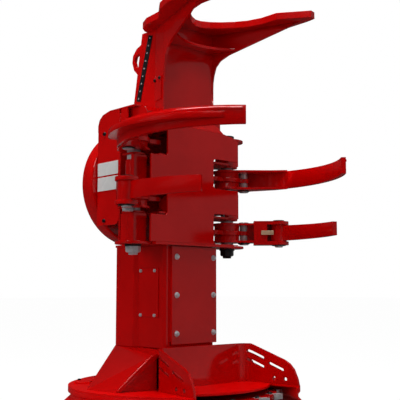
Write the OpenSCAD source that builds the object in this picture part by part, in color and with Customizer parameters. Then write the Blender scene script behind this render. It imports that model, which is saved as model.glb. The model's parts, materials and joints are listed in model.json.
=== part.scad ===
/* [Saw] */
// Running gap between the tooth tips and the housing wall
saw_gap = 5; // [3:1:12]
// Height of the saw disc's underside
disc_z = 102; // [100:1:104]
// Thickness of the saw disc
disc_t = 26; // [22:1:28]
// Number of saw teeth
tooth_count = 18; // [12:1:20]

/* [Saw housing] */
// Top of the butt plate
butt_top = 170; // [168:1:176]
// Thickness of the butt plate
butt_t = 12; // [8:1:14]
// Outer radius of the housing rim
rim_r = 621; // [616:1:640]
// Half width between the front tips of the housing, at the standard rim radius
tip_across = 396; // [394:1:398]
// Forward reach of the front tips, at the standard rim radius
tip_forward = 554; // [552:1:556]
// Half width between the bends of the pocket guard
bend_x = 328; // [310:1:335]
// Forward offset of the pocket guard's flat wall
guard_y = 197; // [190:1:205]
// Height of the flat wall of the pocket guard
guard_top = 385; // [370:1:388]

/* [Tower] */
// Half width of the tower at its front
tower_x = 191; // [180:1:200]
// Front face of the tower, forward of the saw axis
tower_front = 90; // [80:1:100]
// Back face of the tower
tower_back = 318; // [300:1:330]
// Bottom of the tower's straight part
tower_z = 372; // [368:1:376]
// Wall thickness of the folded plates
wall = 12; // [8:1:14]

/* [Arm frame] */
// Height of the arm frame's bottom plate
frame_z = 936; // [926:1:946]
// Height between the levels of neighbouring arms
level_step = 160; // [160:1:166]
// Half width of the pocket face
pocket_x = 336; // [320:1:345]
// Forward offset of the pocket face
pocket_y = 146; // [140:1:152]
// Distance of each arm shaft from the middle plane
shaft_x = 360; // [350:1:366]
// Forward offset of the arm shafts
shaft_y = 25; // [20:1:30]
// Radius of the arm shafts
shaft_r = 38; // [34:1:40]
// Radial running clearance of pins and shafts
run_gap = 0.06; // [0.02:0.01:0.09]

/* [Arms] */
// Radius of the upper arm's outer face
arc_r = 666; // [650:1:680]
// Thickness of the upper arm's curved band
band_t = 26; // [20:1:30]
// Radius of the tip arm's hinge pin
tip_pin_r = 24; // [20:1:26]

/* [Mast and horn] */
// Distance from the top of the mast's straight front edge up to the horn
gusset_h = 287; // [270:1:300]
// Underside of the horn plate
horn_z = 2208; // [2190:1:2230]
// Thickness of the horn plate
horn_t = 40; // [30:1:44]
// Forward reach of the horn tips
horn_reach = 700; // [680:1:720]

/* [Wrist] */
// Height of the wrist's turning axis
wrist_z = 1320; // [1314:1:1326]
// Radius of the turning drum
drum_r = 360; // [350:1:370]
// Radius of the boom pin bores
boom_pin_r = 40; // [35:1:45]

/* [Hidden] */
$fn = 48;

red = [0.62, 0.02, 0.02];
deep_red = [0.48, 0.02, 0.02];
steel = [0.62, 0.62, 0.63];
dark = [0.12, 0.12, 0.12];
tan_pad = [0.78, 0.64, 0.5];
pale = [0.8, 0.8, 0.8];
eps = 1;

skid_t = 10;
seat = 0.3;

// Small shared shapes
module ring(r_out, r_in, h) {
    difference() {
        cylinder(r = r_out, h = h);
        translate([0, 0, -eps]) cylinder(r = r_in, h = h + 2 * eps);
    }
}
module hex_head(r, h) {
    cylinder(r = r, h = h, $fn = 6);
}
module flat_bar(a, b, w) {
    d = b - a;
    n = [-d[1], d[0]] / norm(d) * w / 2;
    polygon([a + n, a - n, b - n, b + n]);
}
// Extrude an outline drawn in (forward-back, height) across the width x0 to x1
module across(x0, x1) {
    translate([x0, 0, 0]) rotate([90, 0, 90]) linear_extrude(x1 - x0) children();
}
module both_sides() {
    children();
    mirror([1, 0, 0]) children();
}
function level(k) = frame_z + 94 + level_step * k;
function shelf_z(k) = frame_z + 8 + level_step * k;
plate_t = 14;
shelf_t = 12;

// Saw
rim_w = 26;
saw_tip_r = rim_r - rim_w - saw_gap;
disc_r = saw_tip_r - 42;
tail_r = disc_r - 52;
tail_w = 44;
tooth_w = 50;
tooth_lip = 2;
spindle_r = 60;
tooth_bolt_r = 7;
tooth_bolt_ring = disc_r - 26;
hub_r = 205;
hub_bolt_ring = 186;
hub_rim_t = 12;
jack_r = 12;
jack_depth = 40;

module saw_disc() {
    color(deep_red) difference() {
        translate([0, 0, disc_z]) ring(disc_r, spindle_r + 0.05, disc_t);
        for (i = [0:tooth_count - 1]) rotate([0, 0, i * 360 / tooth_count]) {
            translate([tail_r, -tail_w / 2, disc_z + disc_t / 2])
                cube([disc_r, tail_w, disc_t]);
            translate([tooth_bolt_ring, 0, disc_z - eps])
                cylinder(r = tooth_bolt_r + 0.05, h = disc_t);
            translate([disc_r, tail_w / 2 + 26, disc_z - eps])
                cylinder(r = 24, h = disc_t + 2 * eps);
        }
    }
}

module saw_teeth() {
    color(steel) for (i = [0:tooth_count - 1]) rotate([0, 0, i * 360 / tooth_count]) difference() {
        union() {
            translate([tail_r + seat, -tail_w / 2 + seat, disc_z + disc_t / 2])
                cube([disc_r - tail_r, tail_w - 2 * seat, disc_t / 2]);
            translate([0, 0, disc_z - tooth_lip]) linear_extrude(disc_t + 2 * tooth_lip)
                polygon([
                    [disc_r + seat, -tooth_w / 2], [disc_r + 14, -tooth_w / 2],
                    [sqrt(saw_tip_r * saw_tip_r - 400) - 1, 20], [disc_r + 20, tooth_w / 2],
                    [disc_r + seat, tooth_w / 2]
                ]);
        }
        translate([tooth_bolt_ring, 0, disc_z])
            cylinder(r = tooth_bolt_r + 0.05, h = disc_t + eps);
    }
}

module saw_bolts() {
    color(dark) {
        for (i = [0:tooth_count - 1]) rotate([0, 0, i * 360 / tooth_count])
            translate([tooth_bolt_ring, 0, disc_z]) {
                cylinder(r = tooth_bolt_r, h = disc_t);
                translate([0, 0, disc_t]) cylinder(r = 13, h = 9);
                translate([0, 0, -8]) hex_head(14, 8);
            }
        for (i = [0:7]) rotate([0, 0, i * 45 + 20])
            translate([hub_bolt_ring, 0, disc_z - hub_rim_t - 12]) hex_head(15, 12);
    }
}

module saw_spindle() {
    color(steel) {
        translate([0, 0, disc_z]) cylinder(r = spindle_r, h = disc_t);
        translate([0, 0, disc_z + disc_t]) cylinder(r = 110, h = 18);
        translate([0, 0, disc_z + disc_t + 18]) cylinder(r = 55, h = 100);
    }
}

module hub_cap() {
    color(deep_red) rotate_extrude() polygon([
        [jack_r, 0], [96, 0], [140, 50], [158, disc_z - hub_rim_t],
        [hub_r, disc_z - hub_rim_t], [hub_r, disc_z], [spindle_r, disc_z],
        [spindle_r, jack_depth + 20], [40, jack_depth], [jack_r, jack_depth]
    ]);
}

// Saw housing
standard_rim = 621;
tip_x = tip_across * rim_r / standard_rim;
tip_y = tip_forward * rim_r / standard_rim;
tip_d = norm([tip_x, tip_y]);
tangent_a = acos(rim_r / tip_d) - atan2(tip_y, tip_x);
horn_len = sqrt(tip_d * tip_d - rim_r * rim_r);
fin_in_x = tip_x - 16;
guard_out = 29;
front_r = rim_r - 111;
butt_bottom = butt_top - butt_t;
spindle_hole_r = 100;

module wall_profile() {
    polygon([
        [rim_r - rim_w, butt_bottom], [rim_r, butt_bottom], [rim_r, butt_bottom - 20],
        [rim_r - 14, butt_bottom - 32], [rim_r - 14, 112], [rim_r + 22, 80],
        [rim_r + guard_out, 68], [rim_r + guard_out, 0], [rim_r - 21, 0], [rim_r - 21, 14],
        [rim_r + guard_out - 14, 14], [rim_r + guard_out - 14, 64], [rim_r + 8, 74],
        [rim_r - rim_w, 104]
    ]);
}

module housing_outline() {
    touch = (rim_r - 0.5) * [cos(tangent_a), sin(tangent_a)];
    circle(r = rim_r, $fn = 96);
    polygon([
        [0, 0], [-touch[0], touch[1]], [-tip_x, -tip_y], [-fin_in_x, -tip_y],
        [0, -300], [fin_in_x, -tip_y], [tip_x, -tip_y], touch
    ]);
}

module butt_plate() {
    color(red) translate([0, 0, butt_bottom]) linear_extrude(butt_t) difference() {
        housing_outline();
        difference() {
            polygon([
                [-fin_in_x, -tip_y - eps], [fin_in_x, -tip_y - eps],
                [bend_x, -guard_y], [-bend_x, -guard_y]
            ]);
            circle(r = front_r, $fn = 96);
        }
        translate([-rim_r, -tip_y - rim_r]) square([2 * rim_r, rim_r]);
        circle(r = spindle_hole_r);
    }
}

module housing_wall() {
    color(deep_red) {
        rotate([0, 0, tangent_a]) rotate_extrude(angle = 180 - 2 * tangent_a, $fn = 96)
            wall_profile();
        both_sides() intersection() {
            rotate([0, 0, tangent_a]) rotate([90, 0, 0]) translate([0, 0, -3])
                linear_extrude(horn_len + 90) wall_profile();
            translate([0, -tip_y, -eps]) cube([1000, 1000, 400]);
        }
    }
}

module skid_shoes() {
    color(dark) for (a = [[tangent_a + 2, 50], [60, 60], [128 - tangent_a, 50]])
        translate([0, 0, -skid_t]) rotate([0, 0, a[0]])
            rotate_extrude(angle = a[1], $fn = 96)
                translate([rim_r - 17, 0]) square([42, skid_t]);
}

cover_out = rim_r - 31;
cover_in = cover_out - 90;
cover_t = 9;
module housing_cover() {
    color(red) translate([0, 0, butt_top]) rotate([0, 0, 38])
        rotate_extrude(angle = 104, $fn = 96)
            translate([cover_in, 0]) square([cover_out - cover_in, cover_t]);
}

// Angle of each bolt from the middle of the cover, and its distance from the cover's inner edge
cover_bolt_at = [[0, 74], [42.8, 74], [-42.8, 74], [29.7, 16], [-29.7, 16]];
module cover_bolts() {
    color(dark) for (b = cover_bolt_at)
        rotate([0, 0, 90 + b[0]]) translate([cover_in + b[1], 0, butt_top + cover_t])
            hex_head(10, 8);
}

// Pocket guard with its two slotted fins
guard_t = 14;
slot_r = 8;
module slot_cut(y0, z0, y1, z1) {
    d = norm([y1 - y0, z1 - z0]);
    translate([0, y0, z0]) rotate([atan2(z1 - z0, y1 - y0), 0, 0]) {
        translate([-500, 0, -slot_r]) cube([1000, d, 2 * slot_r]);
        for (s = [0, d]) translate([-500, s, 0]) rotate([0, 90, 0])
            cylinder(r = slot_r, h = 1000, $fn = 32);
    }
}
bend_r = 70;
fin_a = atan2(tip_y - guard_y, fin_in_x - bend_x);
module guard_plan(t) {
    // The bend's arc touches the flat wall and the fin; its centre stands inside the pocket
    c = [bend_x - bend_r * tan(fin_a / 2), -guard_y - bend_r];
    bend = [for (i = [0:10]) c + (bend_r + t) * [
        cos(90 - fin_a * i / 10), sin(90 - fin_a * i / 10)
    ]];
    other = [for (i = [10:-1:0]) [-bend[i][0], bend[i][1]]];
    foot = [fin_in_x + t / sin(fin_a), -tip_y];
    polygon(concat([[-foot[0], foot[1]]], other, bend, [foot]));
}
module pocket_guard() {
    color(red) difference() {
        intersection() {
            translate([0, 0, butt_top]) linear_extrude(guard_top) difference() {
                guard_plan(guard_t);
                translate([0, -eps]) scale([1, 1.002]) guard_plan(0);
            }
            across(-500, 500) polygon([
                [0, butt_top], [0, guard_top], [-guard_y - 36, guard_top],
                [-tip_y + 93, guard_top - 81], [-tip_y + 58, guard_top - 100],
                [-tip_y + 30, guard_top - 130], [-tip_y + 8, guard_top - 180], [-tip_y, butt_top]
            ]);
        }
        slot_cut(-323, 309, -227, 344);
        slot_cut(-323, 259, -227, 294);
        slot_cut(-453, 248, -367, 280);
        for (y = [-396, -469]) translate([-500, y, 198]) rotate([0, 90, 0])
            cylinder(r = 12, h = 1000);
    }
}

// Sloped covers over the saw motor
module skirt_form(points) {
    hull() for (p = points, side = [-1, 1])
        translate([side * p[0], p[1], p[2]]) cube(1, center = true);
}
skirt_t = 9;
// A foot corner of the skirt, given by its distance inside the rim and its angle
function foot_point(inside, a, z) = [(rim_r - inside) * cos(a), (rim_r - inside) * sin(a), z];
module motor_skirt() {
    tower_step = tower_x + 22;
    color(red) difference() {
        skirt_form([
            [bend_x + guard_t, -guard_y + guard_t, butt_top],
            foot_point(66, -13.2, butt_top), foot_point(45, 8.8, butt_top),
            foot_point(133, 61.9, butt_top),
            [bend_x + guard_t, -guard_y + guard_t, guard_top - 34],
            [tower_x, 165, tower_z - 11], [tower_step, tower_back, tower_z],
            [tower_x, -60, tower_z - 4]
        ]);
        skirt_form([
            [bend_x - 30, -guard_y - 40, butt_top - skirt_t],
            foot_point(66, -19.7, butt_top - skirt_t), foot_point(64, 8.3, butt_top - skirt_t),
            foot_point(152, 62.0, butt_top - skirt_t),
            [bend_x - 6, -guard_y - 40, guard_top - 50],
            [tower_x - 8, 158, tower_z - 26], [tower_step - 9, tower_back - 12, tower_z - 18],
            [tower_x - 10, -60, tower_z - 18]
        ]);
        translate([-500, -guard_y - 100, 0]) cube([1000, guard_t + 100, 1000]);
        translate([-500, -500, tower_z]) cube([1000, 1000, 500]);
        translate([-700, -700, 0]) cube([1400, 1400, butt_top]);
    }
}

module spindle_housing() {
    color(deep_red) difference() {
        union() {
            translate([0, 0, butt_bottom]) cylinder(r = spindle_hole_r - 0.1, h = 92);
            translate([0, 0, butt_top]) cylinder(r = 140, h = 16);
        }
        translate([0, 0, butt_bottom - eps]) cylinder(r = 55 + run_gap, h = 92 + 2 * eps);
    }
}

module saw_motor() {
    motor_z = butt_bottom + 92;
    color(dark) translate([0, 0, motor_z]) {
        cylinder(r = 95, h = 14);
        cylinder(r = 72, h = 90);
        translate([-45, -20, 30]) cube([90, 120, 50]);
    }
}

// Tower
tower_h = frame_z - tower_z;
module tower_plan(inset) {
    w = tower_x - inset;
    polygon([
        [w - 16, -tower_front + inset], [w, -tower_front + 16 + inset], [w, 136],
        [w + 22, 158], [w + 22, tower_back - inset], [-w - 22, tower_back - inset],
        [-w - 22, 158], [-w, 136], [-w, -tower_front + 16 + inset],
        [-w + 16, -tower_front + inset]
    ]);
}
cover_x0 = -151;
cover_x1 = 190;
strip_w = 22;
strip_t = 8;
cover_z0 = tower_z + 20;
cover_h = tower_h - 23;
module tower() {
    color(red) {
        difference() {
            translate([0, 0, tower_z]) linear_extrude(tower_h) difference() {
                tower_plan(0);
                tower_plan(wall);
            }
            translate([-120, -tower_front - eps, tower_z + 58])
                cube([270, wall + 2 * eps, tower_h - 104]);
            translate([-tower_x - 50, 10, tower_z + 198])
                cube([2 * tower_x + 100, 90, 200]);
        }
        for (x = [cover_x0, tower_x - 16 - strip_w])
            translate([x, -tower_front - strip_t, cover_z0 + 12])
                cube([strip_w, strip_t, cover_h - 24]);
    }
}

cover_plate_t = 10;
module front_cover() {
    color(red) translate([cover_x0, -tower_front - strip_t - cover_plate_t, cover_z0])
        cube([cover_x1 - cover_x0, cover_plate_t, cover_h]);
}

side_cover_t = 8;
module side_covers() {
    color(red) both_sides() translate([tower_x, -44, tower_z + 168]) cube([side_cover_t, 160, 272]);
}

module tower_cover_bolts() {
    color(steel) {
        for (x = [-116, 165], z = [58, 270, 482])
            translate([x, -tower_front - strip_t - cover_plate_t, cover_z0 + z]) rotate([90, 0, 0]) {
                cylinder(r = 15, h = 3);
                cylinder(r = 11, h = 13);
            }
        both_sides() for (y = [-18, 104], z = [178, 425])
            translate([tower_x + side_cover_t, y, tower_z + z]) rotate([0, 90, 0]) cylinder(r = 9, h = 8);
    }
}

// Arm frame
back_y = 150;
back_x = 320;
lobe_r = 100;
top_z = shelf_z(4) + shelf_t;
module frame_plan(y_front, y_back) {
    difference() {
        union() {
            translate([-back_x + 20, y_front]) square([2 * back_x - 40, y_back - y_front]);
            both_sides() {
                translate([shaft_x, -shaft_y]) circle(r = lobe_r);
                flat_bar([200, 30], [shaft_x, -shaft_y + 20], 150);
            }
        }
        both_sides() translate([shaft_x, -shaft_y]) circle(r = shaft_r + run_gap);
    }
}
module bottom_plate() {
    color(red) translate([0, 0, frame_z]) linear_extrude(plate_t)
        difference() {
            union() {
                frame_plan(-pocket_y, back_y);
                translate([-tower_x - 22, back_y - eps])
                    square([2 * tower_x + 44, tower_back - back_y + 12]);
            }
            translate([-110, 10]) square([220, 120]);
        }
}
shelf_half_x = 268;
shelf_lobe_r = 64;
module shelf_plan() {
    difference() {
        union() {
            translate([-shelf_half_x, -pocket_y + wall])
                square([2 * shelf_half_x, back_y + pocket_y - wall]);
            both_sides() {
                translate([shaft_x, -shaft_y]) intersection() {
                    circle(r = shelf_lobe_r);
                    translate([-column_x - 2, -100]) square([2 * column_x + 4, 200]);
                }
                flat_bar([200, 60], [shaft_x - 20, -shaft_y + 10], 84);
            }
        }
        both_sides() translate([shaft_x, -shaft_y]) circle(r = shaft_r + run_gap);
    }
}
module shaft_shelves() {
    color(deep_red) for (k = [1:4]) translate([0, 0, shelf_z(k)]) linear_extrude(shelf_t)
        difference() {
            if (k == 4) frame_plan(-pocket_y + wall, back_y);
            else shelf_plan();
            translate([-110, -60]) square([220, 150]);
        }
}
face_top = top_z + 10;
right_notch_x = 133;
left_notch_x = 218;
notch_r = 20;
module notch(x, k, down, up) {
    translate([x, level(k) - down]) {
        translate([notch_r, 0]) square([500, down + up]);
        translate([0, notch_r]) square([100, down + up - 2 * notch_r]);
        for (z = [notch_r, down + up - notch_r]) translate([notch_r, z]) circle(r = notch_r);
    }
}
module pocket_face() {
    color(red) rotate([90, 0, 0]) translate([0, 0, pocket_y - wall]) linear_extrude(wall)
        difference() {
            polygon([
                [-pocket_x, frame_z + plate_t], [pocket_x, frame_z + plate_t],
                [pocket_x, face_top - 34], [pocket_x - 36, face_top - 16], [212, face_top],
                [-212, face_top], [-pocket_x + 36, face_top - 16], [-pocket_x, face_top - 34]
            ]);
            notch(right_notch_x, 0, 76, 98);
            notch(right_notch_x, 2, 76, 98);
            mirror([1, 0]) {
                notch(left_notch_x, 1, 92, 84);
                notch(left_notch_x, 3, 84, 74);
            }
        }
}
module back_plate() {
    color(deep_red) translate([-back_x, back_y, frame_z + plate_t])
        difference() {
            cube([2 * back_x, wall, roof_top - 31 - frame_z - plate_t]);
            for (z = [90, 250, 410]) translate([back_x - 80, -eps, z])
                cube([160, wall + 2 * eps, 90]);
        }
}

// Square bearing columns where a side has no arm, and covers in front of the cranks
column_x = 44;
column_y = 57;
cover_lip = 8;
cover_depth = 27;
function cell_z0(k) = k == 0 ? frame_z + plate_t : shelf_z(k) + shelf_t;
function cell_h(k) = shelf_z(k + 1) - cell_z0(k);
module bearing_half(s, k) {
    translate([s * shaft_x, -shaft_y, cell_z0(k)]) difference() {
        translate([-column_x, 0, 0]) cube([2 * column_x, column_y, cell_h(k)]);
        translate([0, 0, -eps]) cylinder(r = shaft_r + run_gap, h = cell_h(k) + 2 * eps);
    }
}
module bearing_blocks() {
    color(red) {
        bearing_half(1, 3);
        bearing_half(-1, 0);
    }
}
module crank_cover(s, k) {
    translate([s * shaft_x, -shaft_y, cell_z0(k)]) linear_extrude(cell_h(k)) difference() {
        translate([-column_x, -column_y]) square([2 * column_x, cover_depth]);
        translate([-column_x + cover_lip, -column_y + 10])
            square([2 * (column_x - cover_lip), cover_depth]);
    }
}
module bearing_caps() {
    color(red) {
        translate([0, -2 * shaft_y, 0]) mirror([0, 1, 0]) {
            bearing_half(1, 3);
            bearing_half(-1, 0);
        }
        crank_cover(1, 1);
        crank_cover(-1, 2);
    }
}
module cap_bolts() {
    color(red) for (p = [[1, 1], [1, 3], [-1, 0], [-1, 2]], z = [-56, 6, 56])
        translate([p[0] * (shaft_x - column_x), -shaft_y - 43, level(p[1]) + z])
            rotate([0, -90 * p[0], 0]) hex_head(11, 9);
}

// Mast
mast_x = 196;
mast_y = 80;
mast_rear_x = 155;
mast_rear_y = 43;
splay = atan2(mast_x - mast_rear_x, mast_y + mast_rear_y);
roof_top = 1731;
mast_back = 252;
mast_back_top = 168;
seam_z = 1680;
module mast_plan(inset) {
    polygon([
        [mast_x - inset * 1.2, -mast_y + inset], [mast_rear_x - inset, mast_rear_y],
        [mast_rear_x - inset, 400 - inset], [-mast_rear_x + inset, 400 - inset],
        [-mast_rear_x + inset, mast_rear_y], [-mast_x + inset * 1.2, -mast_y + inset]
    ]);
}
module mast_side_outline(inset) {
    polygon([
        [-200, top_z], [22 - inset, top_z], [22 - inset, roof_top + inset],
        [mast_back - inset, roof_top + inset], [mast_back_top - inset, horn_z + eps * inset],
        [-200, horn_z + eps * inset]
    ]);
}
gusset_reach = 545;
mast_top = horn_z - gusset_h;
// Front edge of a gusset: distance forward of the mast, and share of the gusset's height left above
gusset_edge = [
    [0, 1.21], [2, 1], [8, 0.85], [22, 0.67], [50, 0.55], [105, 0.45],
    [gusset_reach - 25, 0.02], [gusset_reach, 0]
];
module gusset_outline() {
    polygon(concat(
        [for (e = gusset_edge) [-e[0] / cos(splay), horn_z - e[1] * gusset_h]],
        [[40, horn_z], [40, mast_top - 60]]
    ));
}
module mast() {
    color(red) {
        intersection() {
            difference() {
                translate([0, 0, top_z]) linear_extrude(horn_z - top_z) mast_plan(0);
                translate([0, 0, top_z - eps]) linear_extrude(horn_z - top_z + 2 * eps)
                    mast_plan(wall);
            }
            across(-300, 300) mast_side_outline(0);
        }
        intersection() {
            across(-300, 300) difference() {
                mast_side_outline(0);
                mast_side_outline(wall);
                translate([-201, top_z - eps]) square([201, 1000]);
            }
            translate([0, 0, top_z]) linear_extrude(horn_z - top_z) mast_plan(1);
        }
        hull() {
            translate([-212, -pocket_y, face_top]) cube([424, wall, 0.1]);
            translate([-mast_x, -mast_y, seam_z]) cube([2 * mast_x, wall, 0.1]);
        }
        both_sides() translate([mast_x - 1, -mast_y, 0]) rotate([0, 0, splay])
            across(-wall, 0) gusset_outline();
    }
}

module mast_cover() {
    color(red) translate([-mast_rear_x, mast_rear_y, roof_top + 39]) rotate([0, 0, -splay])
        difference() {
            translate([-6, -104, 0]) cube([6, 100, 138]);
            for (y = [-14, -88]) translate([-7, y, 124]) rotate([0, 90, 0])
                cylinder(r = 5, h = 10);
        }
}

horn_throat = 157;
horn_edge = [
    [170, 125], [210, 95], [245, 20], [262, -110], [300, -160], [346, -220],
    [386, -330], [402, -440], [400, -640], [392, -horn_reach], [352, -horn_reach - 8],
    [262, -580], [240, -548], [238, -440], [214, -352], [172, -282], [124, -226],
    [70, -182], [20, -horn_throat]
];
module horn_plate() {
    other_edge = [for (i = [len(horn_edge) - 1:-1:0]) [-horn_edge[i][0], horn_edge[i][1]]];
    color(red) translate([0, 0, horn_z]) linear_extrude(horn_t)
        polygon(concat(horn_edge, other_edge));
}
web_low = horn_z - 112;
web_t = 16;
web_reach = 150;
web_arc_r = 344;
module horn_shelf() {
    w = mast_x - 1 - wall / cos(splay) - seat;
    color(red) translate([0, 0, web_low]) linear_extrude(web_t) difference() {
        polygon([
            [-w, -mast_y], [w, -mast_y],
            [w + web_reach * tan(splay), -mast_y - web_reach],
            [-w - web_reach * tan(splay), -mast_y - web_reach]
        ]);
        translate([0, -mast_y - 60 - web_arc_r]) circle(r = web_arc_r, $fn = 96);
    }
}

ear_z = horn_z - 249;
ear_h = 199;
module lifting_ears() {
    slope = (mast_back - mast_back_top) / (horn_z - roof_top);
    function edge(z) = mast_back - slope * (z - roof_top);
    color(red) both_sides() across(mast_rear_x - 34, mast_rear_x - 12) difference() {
        polygon([
            [edge(ear_z), ear_z], [edge(ear_z) + 48, ear_z + 47], [edge(ear_z) + 66, ear_z + 97],
            [edge(ear_z) + 60, ear_z + 139], [edge(ear_z) + 26, ear_z + 175],
            [edge(ear_z + ear_h), ear_z + ear_h]
        ]);
        polygon([
            [edge(ear_z + 53) + 8, ear_z + 53], [edge(ear_z) + 32, ear_z + 65],
            [edge(ear_z) + 44, ear_z + 99], [edge(ear_z) + 34, ear_z + 129],
            [edge(ear_z + 149) + 6, ear_z + 149]
        ]);
    }
}

// Wrist
side_t = 12;
shoulder_x = 274;
wrist_y0 = back_y + wall;
plate_y = 350;
drum_y = 375;
roof_t = 8;
roof_drop = 116;
module roof_outline(inset) {
    low = roof_top - roof_drop - (inset > 0 ? eps : 0);
    polygon([
        [22, roof_top - inset], [mast_back + 4, roof_top - inset],
        [326, roof_top - 16 - inset], [358 - inset / 2, roof_top - 42 - inset],
        [371 - inset, roof_top - 76], [371 - inset, low], [22, low]
    ]);
}
side_low = wrist_z - 260;
side_w = 208;
corner_r = 40;
module shoulder_outline(inset) {
    front = -46 + inset;
    polygon([
        [front, top_z - (inset > 0 ? eps : 0)], [front, roof_top - 42], [-28, roof_top - 16 - inset],
        [22, roof_top - roof_t - inset], [back_y, roof_top - roof_t - inset],
        [back_y, top_z - (inset > 0 ? eps : 0)]
    ]);
}
module wrist_sides() {
    color(red) both_sides() {
        across(back_x - side_t, back_x) intersection() {
            roof_or_side();
            square([drum_y - 4, 2 * roof_top]);
        }
        across(shoulder_x, shoulder_x + side_t) shoulder_outline(0);
        across(back_x - side_t, back_x) translate([90, top_z])
            square([back_y - 90, roof_top - roof_t - top_z]);
    }
}
module roof_or_side() {
    difference() {
        union() {
            intersection() {
                roof_outline(roof_t);
                translate([wrist_y0, 0]) square([drum_y, 2 * roof_top]);
            }
            translate([wrist_y0, side_low + corner_r])
                square([side_w, roof_top - roof_drop - side_low - corner_r]);
            translate([wrist_y0 + corner_r, side_low]) square([side_w - corner_r, 100]);
            translate([wrist_y0 + corner_r, side_low + corner_r]) circle(r = corner_r);
        }
        translate([-eps, 0]) square([wrist_y0, 2 * roof_top]);
    }
}
hose_x = 225;
hose_z = 1668;
module wrist_roof() {
    color(red) {
        across(-back_x, back_x) difference() {
            roof_outline(0);
            roof_outline(roof_t);
        }
        both_sides() difference() {
            across(mast_rear_x, shoulder_x) intersection() {
                difference() {
                    shoulder_outline(0);
                    shoulder_outline(roof_t);
                }
                translate([-100, 0]) square([130, 2 * roof_top]);
            }
            translate([0, 0, top_z - eps]) linear_extrude(roof_top - top_z)
                offset(delta = seat) mast_plan(0);
            translate([hose_x, -100, hose_z]) rotate([-90, 0, 0]) cylinder(r = 15, h = 100);
        }
    }
}
module marker_plates() {
    color(pale) for (z = [[-58, 80], [31, 77]])
        translate([-back_x - 3, wrist_y0 + 8, wrist_z + z[0]]) cube([3, 195, z[1]]);
}
module slew_plate() {
    color(deep_red) {
        translate([-back_x + side_t, plate_y, side_low + 2]) difference() {
            cube([2 * (back_x - side_t), 12, 500]);
            translate([back_x - side_t, -eps, wrist_z - side_low - 2]) rotate([-90, 0, 0])
                cylinder(r = 110, h = 20);
        }
        translate([0, plate_y + 12, wrist_z]) rotate([-90, 0, 0])
            ring(290, 240, drum_y - plate_y - 12 - seat);
    }
}
module slew_motor() {
    color(dark) translate([0, plate_y, wrist_z + 175]) rotate([90, 0, 0]) {
        cylinder(r = 70, h = 16);
        cylinder(r = 50, h = 120);
    }
}
module slew_drum() {
    color(red) translate([0, drum_y, wrist_z]) rotate([-90, 0, 0]) rotate_extrude($fn = 96)
        polygon([
            [90, 0], [drum_r - 8, 0], [drum_r, 8], [drum_r, 92], [drum_r - 8, 100],
            [90, 100], [90, 88], [drum_r - 14, 88], [drum_r - 14, 12], [90, 12]
        ]);
}
ear_y = 592;
ear_dz = 135;
ear_x = 85;
ear_w = 26;
bush_wall = 10;
module boom_adaptor() {
    base_y = drum_y + 100;
    color(deep_red) {
        translate([0, base_y, wrist_z]) rotate([-90, 0, 0]) cylinder(r = 215, h = 26);
        both_sides() difference() {
            across(ear_x, ear_x + ear_w) union() {
                translate([base_y + 26, wrist_z - 195]) square([34, 390]);
                for (s = [-1, 1]) {
                    translate([ear_y, wrist_z + s * ear_dz]) circle(r = 74);
                    translate([base_y + 26, wrist_z + s * ear_dz - 60])
                        square([ear_y - base_y - 26, 120]);
                }
            }
            for (s = [-1, 1]) translate([0, ear_y, wrist_z + s * ear_dz]) rotate([0, 90, 0])
                cylinder(r = boom_pin_r + bush_wall, h = 200);
        }
    }
}
module boom_bushes() {
    color(steel) both_sides() for (s = [-1, 1])
        translate([ear_x, ear_y, wrist_z + s * ear_dz]) rotate([0, 90, 0])
            ring(boom_pin_r + bush_wall - 0.05, boom_pin_r, ear_w);
}

// Arms, drawn for the right side and mirrored for the left
arm_root = [538.6, -127.5];
root_a = 25;
arc_c = arm_root - arc_r * [cos(root_a), sin(root_a)];
shaft_c = [shaft_x, -shaft_y];
knee = [445, -85];
tip_c = [580, -248];
tail = [225, -50];
reach = norm(tip_c - shaft_c);
arm_a = atan2(tip_c[1] - shaft_c[1], tip_c[0] - shaft_c[0]);
hub_out = 88;
fork_z = 46;
fork_t = 12;
knee_r = 25;
hub_plate_t = 25;
box_h = 71;
box_w = 116;

module at_shaft() {
    translate([shaft_c[0], shaft_c[1]]) children();
}
module along_arm() {
    at_shaft() rotate([0, 0, arm_a]) children();
}
module arc_band(a0, a1, h) {
    translate([arc_c[0], arc_c[1], -h / 2]) rotate([0, 0, a0])
        rotate_extrude(angle = a1 - a0, $fn = 96) translate([arc_r - band_t, 0])
            square([band_t, h]);
}
module height_taper(y0, h0, y1, h1) {
    across(-1000, 1000) polygon([[y0, -h0 / 2], [y1, -h1 / 2], [y1, h1 / 2], [y0, h0 / 2]]);
}
module shaft_hole(h) {
    translate([shaft_c[0], shaft_c[1], -h / 2]) cylinder(r = shaft_r + 0.05, h = h);
}
module knee_hole(h) {
    translate([knee[0], knee[1], -h / 2]) cylinder(r = knee_r + 0.05, h = h);
}

module arm_shaft() {
    color(steel) translate([shaft_c[0], shaft_c[1], frame_z - seat])
        ring(shaft_r, 16, top_z + 22 - frame_z);
}

module fork_plan() {
    circle(r = hub_out);
    translate([0, -56]) square([170, 112]);
}
module hub_rings() {
    half = hub_plate_t / 2;
    for (z = [-fork_z - fork_t, half]) translate([shaft_c[0], shaft_c[1], z])
        cylinder(r = hub_out - 12, h = fork_z + fork_t - half);
}

module hub_plate() {
    difference() {
        translate([0, 0, -hub_plate_t / 2]) linear_extrude(hub_plate_t) {
            at_shaft() circle(r = hub_out);
            translate(knee) circle(r = 34);
            translate(tail) circle(r = 28);
            flat_bar(shaft_c, knee, 66);
            flat_bar(tail, shaft_c, 56);
        }
        shaft_hole(40);
        knee_hole(40);
    }
}
module hub_plates(low, high) {
    color(red) for (k = [low, high]) translate([0, 0, level(k)]) hub_plate();
}

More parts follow.
